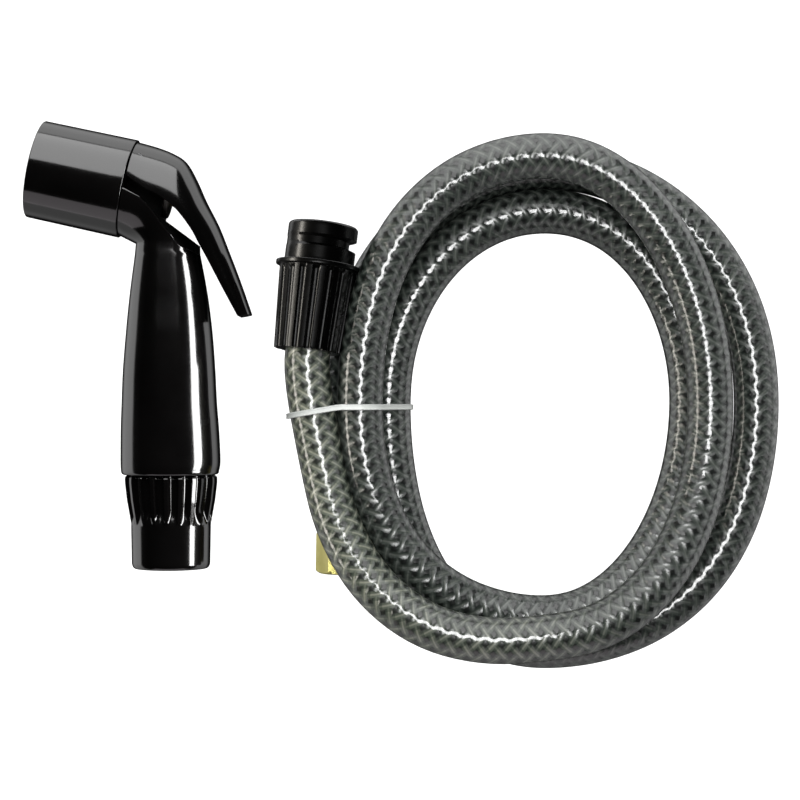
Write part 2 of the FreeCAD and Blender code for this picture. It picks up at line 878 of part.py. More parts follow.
def hose_coil():
    """Return the hose: one unbroken tube in three turns."""
    edges, radii = hose_path()
    tube = swept(edges, hose_diameter / 2)
    bore = swept(edges, hose_bore / 2)
    gap, place, points = least_gap(edges, hose_diameter)
    length = sum(edge.Length for edge in edges)
    print("hose length %.1f, smallest bend radius %.1f" % (length, min(radii)))
    print("least gap of the hose to itself %.2f at" % gap, points[place[0]], points[place[1]])
    hose = tube.cut(bore)
    section = math.pi * (hose_diameter ** 2 - hose_bore ** 2) / 4
    print("hose volume %.0f, section times length %.0f" % (hose.Volume, section * length))
    return flatten(hose)


def fitting_frame():
    """Return the open end of the brass fitting and the way out of the hose there."""
    tilt = math.radians(fitting_tilt_deg)
    return fitting_foot, unit(V(-math.sin(tilt), -math.cos(tilt), 0))


def end_ferrule():
    """Return the crimped brass sleeve round the hose's end."""
    mouth, out = fitting_frame()
    start = mouth - out * (nut_length + end_ferrule_length)
    outer = end_ferrule_radius
    inner = hose_diameter / 2 + 0.02
    length = end_ferrule_length - 0.6
    profile = [(0, inner), (0, outer - 0.2)]
    for step in range(3):
        middle = 3.0 + step * 3.6
        profile += [(middle - 1.2, outer), (middle - 0.6, outer - 0.3)]
        profile += [(middle + 0.6, outer - 0.3), (middle + 1.2, outer)]
    profile += [(length, outer), (length, inner)]
    return turned(profile, start, out)


def end_tail():
    """Return the brass insert that carries the swivel nut."""
    mouth, out = fitting_frame()
    barb_length = tail_barbs * tail_barb_pitch + 1.0
    stop = mouth - out * (nut_length + end_tail_neck_gap)
    base = stop - out * barb_length
    collar = end_tail_neck_gap + nut_back_wall + nut_float
    return barbed_tail(
        base,
        out,
        tail_bore_radius,
        (
            (barb_length, end_tail_neck_radius),
            (barb_length + collar, end_tail_neck_radius),
            (barb_length + collar, end_tail_collar_radius),
            (barb_length + collar + end_tail_collar_length, end_tail_collar_radius),
        ),
        barb_length,
    )


def end_nut():
    """Return the brass swivel nut."""
    mouth, out = fitting_frame()
    base = mouth - out * nut_length
    corner = nut_across_flats / math.sqrt(3)
    side = out.cross(UP)
    points = []
    for step in range(7):
        angle = math.pi / 3 * step
        points.append(base + (side * math.cos(angle) + UP * math.sin(angle)) * corner)
    hexagon = Part.Face(Part.makePolygon(points)).extrude(out * nut_length)
    flat = nut_across_flats / 2
    envelope = turned(
        (
            (0, 0),
            (0, flat - 0.2),
            (nut_chamfer, corner),
            (nut_length - nut_chamfer, corner),
            (nut_length, flat - 0.2),
            (nut_length, 0),
        ),
        base,
        out,
    )
    nut = hexagon.common(envelope)
    nut = nut.cut(rod(base - out, out, nut_length, end_tail_neck_radius + nut_running_clearance))
    nut = nut.cut(rod(base + out * nut_back_wall, out, nut_length, nut_bore_radius))
    relief = nut_length - nut_back_wall - nut_thread_length
    nut = nut.cut(rod(base + out * nut_back_wall, out, relief, nut_bore_radius + nut_relief))
    return flatten(nut)


def end_washer():
    """Return the rubber washer against the tail's collar in the nut."""
    mouth, out = fitting_frame()
    start = mouth - out * (nut_length - nut_back_wall - nut_float - end_tail_collar_length - soft_gap)
    return ring(start, out, end_washer_thickness, nut_bore_radius + nut_relief - 0.35, tail_bore_radius)


def hull_outline(centres, radius):
    """Return the closed belt of lines and arcs round equal circles, given by (x, z)."""
    points = sorted(centres)
    hull = []
    for sweep in (points, points[::-1]):
        start = len(hull)
        for p in sweep:
            while len(hull) >= start + 2 and cross2(hull[-2], hull[-1], p) <= 0:
                hull.pop()
            hull.append(p)
        hull.pop()
    edges = []
    count = len(hull)
    for index in range(count):
        before, here, after = hull[index - 1], hull[index], hull[(index + 1) % count]
        into = outward_normal(before, here)
        leave = outward_normal(here, after)
        middle = unit(V(into[0] + leave[0], 0, into[1] + leave[1]))
        centre = V(here[0], 0, here[1])
        a = centre + V(into[0], 0, into[1]) * radius
        b = centre + V(leave[0], 0, leave[1]) * radius
        edges.append(Part.Arc(a, centre + middle * radius, b).toShape())
        nxt = V(after[0], 0, after[1]) + V(leave[0], 0, leave[1]) * radius
        edges.append(Part.makeLine(b, nxt))
    return Part.Wire(edges)


def cross2(a, b, c):
    """Return the turn from a over b to c."""
    return (b[0] - a[0]) * (c[1] - a[1]) - (b[1] - a[1]) * (c[0] - a[0])


def outward_normal(a, b):
    """Return the unit normal to the right of the way from a to b."""
    dx, dz = b[0] - a[0], b[1] - a[1]
    length = math.hypot(dx, dz)
    return dz / length, -dx / length


def strand_crossings(y):
    """Return where the hose crosses the plane at y on the left of the coil, as (x, z)."""
    found = []
    points = path_points(hose_path()[0], 0.5)
    for a, b in zip(points, points[1:]):
        if (a.y - y) * (b.y - y) < 0 and a.x < coil_centre_x:
            share = (y - a.y) / (b.y - a.y)
            p = a + (b - a) * share
            found.append((p.x, p.z))
    return found


def cable_tie():
    """Return the tie: a flat strap round the strands with its locking head."""
    crossings = strand_crossings(tie_y)
    inner_radius = hose_diameter / 2 + tie_gap
    outer = Part.Face(hull_outline(crossings, inner_radius + tie_thickness))
    inner = Part.Face(hull_outline(crossings, inner_radius))
    band = outer.cut(inner).extrude(V(0, tie_width, 0))
    band.translate(V(0, tie_y - tie_width / 2, 0))
    return flatten(band)


PIECES = (
    handle_body,
    spray_cap,
    spray_face,
    face_seal,
    cap_seal,
    spring_guide,
    valve_spring,
    valve_stem,
    valve_disc,
    valve_clip,
    stem_seal,
    gland_bush,
    trigger_lever,
    lever_pin,
    hose_collar,
    inlet_washer,
    inlet_screen,
    coupling_sleeve,
    coupling_washer,
    hose_tail,
    snap_ring,
    hose_coil,
    cable_tie,
    end_ferrule,
    end_tail,
    end_nut,
    end_washer,
)

os.makedirs("parts", exist_ok=True)
for piece in PIECES:
    shape = piece()
    if shape.ShapeType != "Solid":
        shape = shape.Solids[0]
    shape.exportStep("parts/%s.step" % piece.__name__)
    box = shape.BoundBox
    facts = (piece.__name__, shape.Volume, shape.isValid(), box.ZMin, box.ZMax)
    print("%-16s volume %9.1f valid %s z %.2f to %.2f" % facts)
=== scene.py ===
import bpy
import math
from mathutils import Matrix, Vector


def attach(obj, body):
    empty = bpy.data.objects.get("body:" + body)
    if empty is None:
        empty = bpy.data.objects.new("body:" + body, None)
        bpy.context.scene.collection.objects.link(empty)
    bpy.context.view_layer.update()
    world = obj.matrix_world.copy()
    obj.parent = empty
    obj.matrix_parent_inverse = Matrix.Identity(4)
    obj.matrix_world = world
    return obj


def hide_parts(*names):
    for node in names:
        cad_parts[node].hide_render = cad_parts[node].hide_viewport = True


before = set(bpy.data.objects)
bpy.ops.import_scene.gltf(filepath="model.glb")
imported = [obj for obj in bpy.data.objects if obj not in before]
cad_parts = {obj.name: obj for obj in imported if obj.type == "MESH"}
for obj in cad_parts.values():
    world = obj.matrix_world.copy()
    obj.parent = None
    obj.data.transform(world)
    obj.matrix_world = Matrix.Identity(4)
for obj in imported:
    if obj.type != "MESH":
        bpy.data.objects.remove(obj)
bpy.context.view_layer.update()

MM = 0.001
AXIS_HEIGHT = 14.1


# camera, straight above the middle of the picture

PICTURE_MIDDLE = (73.8, -15.4)
CAMERA_ABOVE = 550.0
VIEW_WIDTH = 225.8
SENSOR_WIDTH = 36.0
camera_data = bpy.data.cameras.new("camera")
camera = bpy.data.objects.new("camera", camera_data)
bpy.context.scene.collection.objects.link(camera)
camera.location = Vector((*PICTURE_MIDDLE, AXIS_HEIGHT + CAMERA_ABOVE)) * MM
camera_data.sensor_width = SENSOR_WIDTH
camera_data.lens = SENSOR_WIDTH / 2 / (VIEW_WIDTH / 2 / CAMERA_ABOVE)
camera_data.clip_start = 0.01
camera_data.clip_end = 20.0
bpy.context.scene.camera = camera


# mesh helpers

def make_object(name, points, faces, material, smooth_angle=35.0, uvs=None):
    mesh = bpy.data.meshes.new(name)
    mesh.from_pydata([tuple(p * MM) for p in points], [], faces)
    mesh.validate()
    if uvs is not None:
        layer = mesh.uv_layers.new(name="uv")
        for polygon in mesh.polygons:
            for loop_index in polygon.loop_indices:
                layer.data[loop_index].uv = uvs[mesh.loops[loop_index].vertex_index]
    mesh.polygons.foreach_set("use_smooth", [True] * len(mesh.polygons))
    mesh.set_sharp_from_angle(angle=math.radians(smooth_angle))
    mesh.materials.append(material)
    thing = bpy.data.objects.new(name, mesh)
    bpy.context.scene.collection.objects.link(thing)
    return thing


def grid_faces(rows, columns, closed_rows=False, flip=False):
    """Return the faces between rows of points, where each row is a closed ring."""
    faces = []
    for i in range(rows if closed_rows else rows - 1):
        for j in range(columns):
            a = i * columns + j
            b = i * columns + (j + 1) % columns
            c = ((i + 1) % rows) * columns + (j + 1) % columns
            d = ((i + 1) % rows) * columns + j
            faces.append((a, d, c, b) if flip else (a, b, c, d))
    return faces


def frame_of(axis):
    """Return an axis and two directions square to it, all of length 1."""
    axis = Vector(axis).normalized()
    side = axis.cross(Vector((0, 0, 1)))
    if side.length < 1e-6:
        side = Vector((1, 0, 0))
    side.normalize()
    return axis, side, side.cross(axis)


def lathe(name, profile, base, axis, material, segments, shape=None):
    """Turn a closed profile of (along, radius) pairs; shape(along, angle, radius) may change the radius."""
    axis, side, top = frame_of(axis)
    base = Vector(base)
    points = []
    for along, radius in profile:
        for k in range(segments):
            angle = 2 * math.pi * k / segments
            r = radius if shape is None else shape(along, angle, radius)
            points.append(base + axis * along + (side * math.cos(angle) + top * math.sin(angle)) * r)
    faces = grid_faces(len(profile), segments, closed_rows=True, flip=True)
    return make_object(name, points, faces, material, 30.0)


def rounded(profile, radius, steps):
    """Round the corners of a closed profile, where they are sharp enough to need it."""
    count = len(profile)
    result = []
    for i, here in enumerate(profile):
        before, after = Vector(profile[i - 1]), Vector(profile[(i + 1) % count])
        p = Vector(here)
        one, two = before - p, after - p
        cut = min(radius, one.length * 0.45, two.length * 0.45)
        if cut < 1e-4 or abs(one.normalized().cross(two.normalized())) < 0.08:
            result.append(here)
            continue
        start, end = p + one.normalized() * cut, p + two.normalized() * cut
        for k in range(steps + 1):
            f = k / steps
            q = start * (1 - f) ** 2 + p * 2 * f * (1 - f) + end * f ** 2
            result.append((q.x, q.y))
    return result


def subdivided(profile, longest):
    """Divide the long runs of a closed profile."""
    result = []
    count = len(profile)
    for i in range(count):
        a, b = Vector(profile[i]), Vector(profile[(i + 1) % count])
        parts = max(1, int(math.ceil((b - a).length / longest)))
        for k in range(parts):
            q = a.lerp(b, k / parts)
            result.append((q.x, q.y))
    return result


def smoothstep(a, b, x):
    """Return 0 below a, 1 above b, and a smooth blend between them."""
    f = min(1.0, max(0.0, (x - a) / (b - a)))
    return f * f * (3 - 2 * f)


def catmull(rows, per_span):
    """Pass a smooth line through rows of numbers, with per_span steps from each row to the next."""
    result = []
    for i in range(len(rows) - 1):
        p0 = rows[max(i - 1, 0)]
        p1, p2 = rows[i], rows[i + 1]
        p3 = rows[min(i + 2, len(rows) - 1)]
        for k in range(per_span):
            f = k / per_span
            result.append(tuple(
                0.5 * (2 * b + (c - a) * f + (2 * a - 5 * b + 4 * c - d) * f * f
                       + (3 * b - a - 3 * c + d) * f ** 3)
                for a, b, c, d in zip(p0, p1, p2, p3)))
    result.append(tuple(rows[-1]))
    return result


# materials

def new_material(name):
    material = bpy.data.materials.new(name)
    material.use_nodes = True
    tree = material.node_tree
    shader = tree.nodes["Principled BSDF"]
    return material, tree, shader


def math_node(tree, operation, *values):
    """Add a maths node; each value is a number or another node's output."""
    node = tree.nodes.new("ShaderNodeMath")
    node.operation = operation
    for index, value in enumerate(values):
        if hasattr(value, "is_output"):
            tree.links.new(value, node.inputs[index])
        else:
            node.inputs[index].default_value = value
    return node.outputs[0]


def noise(tree, scale, detail=3.0):
    place = tree.nodes.new("ShaderNodeTexCoord")
    node = tree.nodes.new("ShaderNodeTexNoise")
    node.inputs["Scale"].default_value = scale
    node.inputs["Detail"].default_value = detail
    tree.links.new(place.outputs["Object"], node.inputs["Vector"])
    return node.outputs[0]


def ramp(tree, value, stops):
    """Colour a value by stops of (position, colour)."""
    node = tree.nodes.new("ShaderNodeValToRGB")
    elements = node.color_ramp.elements
    while len(elements) < len(stops):
        elements.new(0.5)
    for element, (position, color) in zip(elements, stops):
        element.position = position
        element.color = (*color, 1.0)
    tree.links.new(value, node.inputs[0])
    return node.outputs[0]


def bump(tree, shader, height, strength, distance):
    node = tree.nodes.new("ShaderNodeBump")
    node.inputs["Strength"].default_value = strength
    node.inputs["Distance"].default_value = distance
    tree.links.new(height, node.inputs["Height"])
    tree.links.new(node.outputs[0], shader.inputs["Normal"])
    return node


def plastic(name, dark, light, roughness, bump_scale=900.0, bump_strength=0.05, coat=0.0):
    material, tree, shader = new_material(name)
    color = ramp(tree, noise(tree, 55.0, 4.0), ((0.3, dark), (0.75, light)))
    tree.links.new(color, shader.inputs["Base Color"])
    rough = math_node(tree, "MULTIPLY_ADD", noise(tree, 240.0, 2.0), roughness * 0.5, roughness * 0.75)
    tree.links.new(rough, shader.inputs["Roughness"])
    bump(tree, shader, noise(tree, bump_scale, 2.0), bump_strength, 0.00004)
    shader.inputs["IOR"].default_value = 1.5
    shader.inputs["Coat Weight"].default_value = coat
    shader.inputs["Coat Roughness"].default_value = 0.05
    return material


def metal(name, dark, light, roughness, scale=300.0):
    material, tree, shader = new_material(name)
    color = ramp(tree, noise(tree, 120.0, 4.0), ((0.25, dark), (0.8, light)))
    tree.links.new(color, shader.inputs["Base Color"])
    rough = math_node(tree, "MULTIPLY_ADD", noise(tree, scale, 3.0), roughness * 0.8, roughness * 0.6)
    tree.links.new(rough, shader.inputs["Roughness"])
    bump(tree, shader, noise(tree, scale * 3, 2.0), 0.12, 0.00005)
    shader.inputs["Metallic"].default_value = 1.0
    return material


def rubber(name):
    material, tree, shader = new_material(name)
    stops = ((0.3, (0.012, 0.012, 0.012)), (0.8, (0.035, 0.035, 0.035)))
    color = ramp(tree, noise(tree, 200.0, 5.0), stops)
    tree.links.new(color, shader.inputs["Base Color"])
    shader.inputs["Roughness"].default_value = 0.75
    bump(tree, shader, noise(tree, 1500.0, 3.0), 0.2, 0.00008)
    return material


# the braid: yarns in each of its two sets, length of one full turn of a yarn, width of a yarn as a share
# of its pitch, and threads in a pitch

BRAID_YARNS = 7
BRAID_LEAD = 30.0
YARN_SHARE = 0.66
THREADS_A_PITCH = 4.0


def braided_vinyl(name):
    """Clear vinyl over two sets of yarns that cross; u runs along the hose in metres, v round it."""
    material, tree, shader = new_material(name)
    place = tree.nodes.new("ShaderNodeUVMap")
    split = tree.nodes.new("ShaderNodeSeparateXYZ")
    tree.links.new(place.outputs[0], split.inputs[0])
    along = math_node(tree, "MULTIPLY", split.outputs[0], BRAID_YARNS / (BRAID_LEAD * MM))
    around = math_node(tree, "MULTIPLY", split.outputs[1], float(BRAID_YARNS))
    one = math_node(tree, "ADD", around, along)
    two = math_node(tree, "SUBTRACT", around, along)

    def yarn(value):
        """Return a yarn's height across it, and the light and dark of the threads that it's made of."""
        inside = math_node(tree, "FRACT", value)
        away = math_node(tree, "ABSOLUTE", math_node(tree, "SUBTRACT", inside, 0.5))
        scaled = math_node(tree, "DIVIDE", away, YARN_SHARE / 2)
        squared = math_node(tree, "MULTIPLY", scaled, scaled)
        high = math_node(tree, "MAXIMUM", math_node(tree, "SUBTRACT", 1.0, squared), 0.0)
        wave = math_node(tree, "COSINE", math_node(tree, "MULTIPLY", inside, 2 * math.pi * THREADS_A_PITCH))
        return high, math_node(tree, "MULTIPLY_ADD", wave, 0.16, 0.84)

    (first, first_threads), (second, second_threads) = yarn(one), yarn(two)
    cells = math_node(tree, "ADD", math_node(tree, "FLOOR", one), math_node(tree, "FLOOR", two))
    odd = math_node(tree, "ABSOLUTE", math_node(tree, "MODULO", cells, 2.0))
    over_first = math_node(tree, "MULTIPLY", first, math_node(tree, "MULTIPLY_ADD", odd, 0.3, 0.7))
    over_second = math_node(tree, "MULTIPLY", second, math_node(tree, "MULTIPLY_ADD", odd, -0.3, 1.0))
    height = math_node(tree, "MAXIMUM", over_first, over_second)
    # painted shade: each yarn's tone follows its height, so it is painted darker towards its edges and where
    # it runs under the other yarn; the dark gaps between the yarns are the hose's own colour
    yarn_tone_and_shade = math_node(tree, "MAXIMUM", math_node(tree, "MULTIPLY", over_first, first_threads),
                    math_node(tree, "MULTIPLY", over_second, second_threads))
    fibre = noise(tree, 900.0, 3.0)
    patches = noise(tree, 70.0, 2.0)
    grain = math_node(tree, "SUBTRACT", fibre, 0.5)
    patched = math_node(tree, "MULTIPLY", yarn_tone_and_shade, math_node(tree, "MULTIPLY_ADD", patches, 0.9, 0.42))
    tone = math_node(tree, "MULTIPLY_ADD", grain, 0.3, patched)
    color = ramp(tree, tone, ((0.02, (0.008, 0.011, 0.009)), (0.30, (0.030, 0.041, 0.034)),
                              (0.62, (0.096, 0.115, 0.099)), (0.95, (0.205, 0.225, 0.198))))
    # painted light: the first run of the hose, by the coupling, is painted lighter and warmer than the rest
    painted_light_first_run = ramp(tree, split.outputs[0], ((0.06, (1.0, 0.93, 0.84)), (0.17, (0.34, 0.34, 0.34))))
    blend = tree.nodes.new("ShaderNodeVectorMath")
    blend.operation = "MULTIPLY"
    tree.links.new(color, blend.inputs[0])
    tree.links.new(painted_light_first_run, blend.inputs[1])
    tree.links.new(blend.outputs[0], shader.inputs["Base Color"])
    shader.inputs["Roughness"].default_value = 0.30
    shader.inputs["IOR"].default_value = 1.5
    shader.inputs["Coat Weight"].default_value = 0.5
    shader.inputs["Coat Roughness"].default_value = 0.08
    # the vinyl's own surface ripples a little over the yarns
    ripples = []
    for value in (one, two):
        ripples.append(math_node(tree, "COSINE", math_node(tree, "MULTIPLY", value, 2 * math.pi)))
    skin = bump(tree, shader, math_node(tree, "ADD", *ripples), 1.0, 0.00002)
    tree.links.new(skin.outputs[0], shader.inputs["Coat Normal"])
    bump(tree, shader, height, 0.55, 0.0006)
    return material


GLOSS_BLACK = plastic("gloss_black", (0.0012, 0.0011, 0.0011), (0.0026, 0.0024, 0.0024), 0.13, coat=0.3)
SATIN_BLACK = plastic("satin_black", (0.003, 0.003, 0.003), (0.007, 0.007, 0.007), 0.26, 700.0, 0.15)
DULL_BLACK = plastic("dull_black", (0.002, 0.002, 0.002), (0.004, 0.004, 0.004), 0.55, 500.0, 0.2)
FACE_BLACK = plastic("face_black", (0.008, 0.008, 0.008), (0.016, 0.016, 0.016), 0.45, 500.0, 0.2)
ACETAL = plastic("acetal", (0.62, 0.61, 0.56), (0.74, 0.73, 0.69), 0.4, 400.0, 0.1)
NYLON = plastic("white_nylon", (0.46, 0.48, 0.46), (0.58, 0.60, 0.57), 0.42, 600.0, 0.2)
RUBBER = rubber("black_rubber")
STEEL = metal("spring_steel", (0.45, 0.45, 0.46), (0.66, 0.66, 0.67), 0.28)
BRASS = metal("fitting_brass", (0.30, 0.27, 0.07), (0.52, 0.47, 0.18), 0.30)
VINYL = braided_vinyl("braided_vinyl")

NODE_MATERIALS = {
    "spray_face": FACE_BLACK, "face_seal": RUBBER, "cap_seal": RUBBER, "spring_guide": ACETAL,
    "valve_spring": STEEL, "valve_stem": BRASS, "valve_disc": RUBBER, "valve_clip": STEEL,
    "stem_seal": RUBBER, "gland_bush": ACETAL, "lever_pin": STEEL, "inlet_washer": RUBBER,
    "inlet_screen": STEEL, "coupling_washer": RUBBER, "hose_tail": BRASS, "snap_ring": STEEL,
    "end_tail": BRASS, "end_washer": RUBBER,
}


def give(thing, material):
    """Make this a thing's only material."""
    thing.data.materials.clear()
    thing.data.materials.append(material)


for node_name, node_material in NODE_MATERIALS.items():
    give(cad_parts[node_name], node_material)


def stand_in(thing, body, *nodes):
    """Show a thing in place of CAD nodes and let it ride a body."""
    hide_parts(*nodes)
    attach(thing, body)


# the hose: its route in the coil comes from quarter ellipses between the photographed sides. REACH and
# RISE hold a number for each side in turn, from the left of the first turn by the bottom, right and top:
# the distance from the coil's middle, and the height. SWELL, LEAN, FALL_OFF and LIFT hold a number for
# each quarter between them: how far it swells out, where and how sharply, and how far it rises.

COIL_X, COIL_Y = 114.7, -15.4
HOSE_RADIUS = 6.35
HOSE_SPACING = 1.5
REACH = (62.9, 64.61, 45.7, 68.1, 51.9, 61.1, 42.52, 53.9, 44.12, 70.2, 60.9, 66.7, 57.69)
RISE = (20.0, 30.4, 20.0, 19.86, 20.7, 17.25, 6.6, 6.55, 7.5, 6.55, 6.6, 6.55, 7.55)
SWELL = (6.9, 0.8, -0.4, 1.9, 2.2, -0.3, 0.7, 0.0, 2.0, 2.6, 0.6, -0.8)
LEAN = (1.3, 1.0, 1.0, 1.0, 0.9, 1.0, 1.7, 1.0, 1.0, 1.0, 0.8, 1.0)
FALL_OFF = (1.3, 2.0, 2.0, 2.0, 2.0, 2.0, 2.0, 2.0, 2.0, 2.0, 2.0, 2.0)
LIFT = (1.5, 1.5, 0.0, 0.0, 1.5, 0.3, 0.0, 0.0, 0.0, 0.0, 0.0, 0.0)
PER_QUARTER = 6
# the spline runs a little inside its points, by this ratio, so they are set further out
SHRINK = 0.9915
COUPLING_FOOT = Vector((48.1, -1.8, 20.06))
COUPLING_TILT, COUPLING_PITCH = math.radians(7.0), math.radians(4.0)
TOWARD_SPIGOT = Vector((math.sin(COUPLING_TILT) * math.cos(COUPLING_PITCH),
                        math.cos(COUPLING_TILT) * math.cos(COUPLING_PITCH), -math.sin(COUPLING_PITCH)))
COUPLING_LENGTH = 35.8
HOSE_IN_SKIRT = 14.0
FITTING_FOOT = Vector((57.4, -64.9, 7.2))
FITTING_TILT = math.radians(1.0)
OUT_OF_FITTING = Vector((-math.sin(FITTING_TILT), -math.cos(FITTING_TILT), 0))
NUT_LENGTH = 12.0
NUT_FLAT = 6.7
FERRULE_LENGTH = 14.0
QUARTER_WAYS = (Vector((-1, 0, 0)), Vector((0, -1, 0)), Vector((1, 0, 0)), Vector((0, 1, 0)))


def coil_point(t):
    """Return the coil's centre line at t quarter turns from the left of the first turn."""
    quarter = min(int(t), len(REACH) - 2)
    f = t - quarter
    angle = f * math.pi / 2
    flat = (QUARTER_WAYS[quarter % 4] * (REACH[quarter] * math.cos(angle))
            + QUARTER_WAYS[(quarter + 1) % 4] * (REACH[quarter + 1] * math.sin(angle)))
    hump = abs(math.sin(math.pi * f ** LEAN[quarter])) ** FALL_OFF[quarter]
    flat += flat.normalized() * (SWELL[quarter] * hump)
    flat /= SHRINK
    blend = f * f * (3 - 2 * f)
    z = RISE[quarter] * (1 - blend) + RISE[quarter + 1] * blend + LIFT[quarter] * hump
    return Vector((COIL_X + flat.x, COIL_Y + flat.y, z))


def hose_route():
    route = [COUPLING_FOOT + TOWARD_SPIGOT * HOSE_IN_SKIRT, COUPLING_FOOT + TOWARD_SPIGOT * 4.0,
             COUPLING_FOOT - TOWARD_SPIGOT * 6.0]
    steps = PER_QUARTER * (len(REACH) - 1)
    for k in range(1, steps):
        route.append(coil_point(k / PER_QUARTER))
    end = FITTING_FOOT - OUT_OF_FITTING * (NUT_LENGTH + FERRULE_LENGTH)
    route += [end - OUT_OF_FITTING * 8.0, end,
              FITTING_FOOT - OUT_OF_FITTING * (NUT_LENGTH + 1.2)]
    return route


def spline_points(name, route, samples=6):
    """Return points of the route's NURBS spline."""
    curve = bpy.data.curves.new(name, "CURVE")
    curve.dimensions = "3D"
    spline = curve.splines.new("NURBS")
    spline.points.add(len(route) - 1)
    for point, place in zip(spline.points, route):
        point.co = (*(place * MM), 1.0)
    spline.order_u = 3
    spline.use_endpoint_u = True
    curve.resolution_u = samples
    holder = bpy.data.objects.new(name, curve)
    bpy.context.scene.collection.objects.link(holder)
    mesh = bpy.data.meshes.new_from_object(holder)
    points = [v.co / MM for v in mesh.vertices]
    bpy.data.objects.remove(holder)
    bpy.data.meshes.remove(mesh)
    return points


def even(points, spacing):
    """Return points along a line, evenly spaced, and the line's length."""
    lengths = [0.0]
    for a, b in zip(points, points[1:]):
        lengths.append(lengths[-1] + (b - a).length)
    total = lengths[-1]
    count = int(total / spacing)
    result, at = [], 0
    for k in range(count + 1):
        want = total * k / count
        while at < len(points) - 2 and lengths[at + 1] < want:
            at += 1
        run = lengths[at + 1] - lengths[at]
        result.append(points[at].lerp(points[at + 1], (want - lengths[at]) / run if run > 0 else 0))
    return result, total


def carried_frames(points):
    """Return a side and a top for each point, carried along with no twist."""
    ways = []
    for i in range(len(points)):
        a, b = points[max(i - 1, 0)], points[min(i + 1, len(points) - 1)]
        ways.append((b - a).normalized())
    side = ways[0].cross(Vector((0, 0, 1))).normalized()
    frames = []
    for way in ways:
        side = (side - way * side.dot(way)).normalized()
        frames.append((side, side.cross(way)))
    return frames


def tube(name, points, radius, material, segments=48):
    """Make a tube with flat ends, with u along it in metres and v round it."""
    frames = carried_frames(points)
    vertices, uvs, faces = [], [], []
    length = 0.0
    columns = segments + 1
    for i, (p, (side, top)) in enumerate(zip(points, frames)):
        if i:
            length += (p - points[i - 1]).length
        for k in range(columns):
            angle = 2 * math.pi * k / segments
            vertices.append(p + (side * math.cos(angle) + top * math.sin(angle)) * radius)
            uvs.append((length * MM, k / segments))
    for i in range(len(points) - 1):
        for k in range(segments):
            a = i * columns + k
            faces.append((a, a + 1, a + columns + 1, a + columns))
    for end, flip in ((0, False), ((len(points) - 1) * columns, True)):
        ring = [end + k for k in range(segments)]
        faces.append(tuple(ring if flip else reversed(ring)))
    return make_object(name, vertices, faces, material, 60.0, uvs)


route_points = spline_points("hose_line", hose_route())
hose_points, hose_length = even(route_points, HOSE_SPACING)
hose = tube("braided_hose", hose_points, HOSE_RADIUS, VINYL)
stand_in(hose, "handset", "hose_coil")


# the head's own axis

HEAD_TILT_DEGREES = 12.2
HEAD_TILT = math.radians(HEAD_TILT_DEGREES)
BACK = Vector((math.cos(HEAD_TILT), -math.sin(HEAD_TILT), 0))
ABOVE = Vector((math.sin(HEAD_TILT), math.cos(HEAD_TILT), 0))
HEAD_FRONT = Vector((-28.84, 49.75, AXIS_HEIGHT))


def head_point(along, height, side=0.0):
    """Return the point this far behind the head's front, above its axis and to its side."""
    return HEAD_FRONT + BACK * along + ABOVE * height + Vector((0, 0, side))


# spray cap

CAP_LENGTH = 26.7
cap_profile = [(1.1, 11.2), (0.0, 11.2), (0.0, 13.5), (0.1, 13.7), (0.3, 13.8),
               (CAP_LENGTH, 14.0), (CAP_LENGTH, 11.9), (1.1, 11.9)]
cap_profile = subdivided(rounded(cap_profile, 0.3, 5), 3.0)
cap = lathe("cap_shell", cap_profile, HEAD_FRONT, BACK, GLOSS_BLACK, 192)
stand_in(cap, "handset", "spray_cap")


# grip, neck and the body behind the seam, as rings that turn from the neck into the head

# each row: y, x of the left side, x of the right side, and half of the thickness in z
GRIP_ROWS = (
    (-36.4, -4.1, 22.0, 13.0), (-36.1, -4.6, 22.5, 13.6), (-35.2, -4.85, 22.75, 13.85),
    (-32.3, -4.95, 23.1, 14.05), (-23.8, -4.9, 22.7, 13.95), (-16.0, -4.65, 22.1, 13.6),
    (-6.9, -4.3, 21.65, 13.1), (3.25, -3.5, 20.9, 12.3), (11.7, -2.7, 19.9, 11.3),
    (18.5, -1.9, 18.8, 10.6), (25.3, -1.0, 17.5, 9.9), (28.6, -0.71, 17.1, 9.6),
)
NECK_DEPTH, NECK_HALF_WIDTH = 17.81, 9.6
BACK_DEPTH, BACK_HALF_WIDTH = 26.8, 13.4
SEAM_GAP = 0.25
TURN_STEPS = 64
COLLAR_SEAT = Vector((9.2, -36.4, AXIS_HEIGHT))
COLLAR_HOLE_RADIUS = 10.2
COLLAR_HOLE_DEPTH = 6.0
# the ledge under the lever: place behind the head's front, and height above the head's axis
LEDGE = ((20.0, -0.7), (27.4, -0.9), (31.8, -2.2), (35.4, -4.6), (38.9, -7.9), (45.0, -12.7), (56.0, -15.0))
ARC_PARTS = 90
CHORD_PARTS = 12
LEDGE_EDGE = 0.35


def ledge_height(along):
    """Return the ledge's height at a place along the head, level beyond both ends of its line."""
    for (a0, h0), (a1, h1) in zip(LEDGE, LEDGE[1:]):
        if a0 <= along <= a1:
            return h0 + (h1 - h0) * (along - a0) / (a1 - a0)
    return LEDGE[-1][1] if along > LEDGE[-1][0] else LEDGE[0][1]


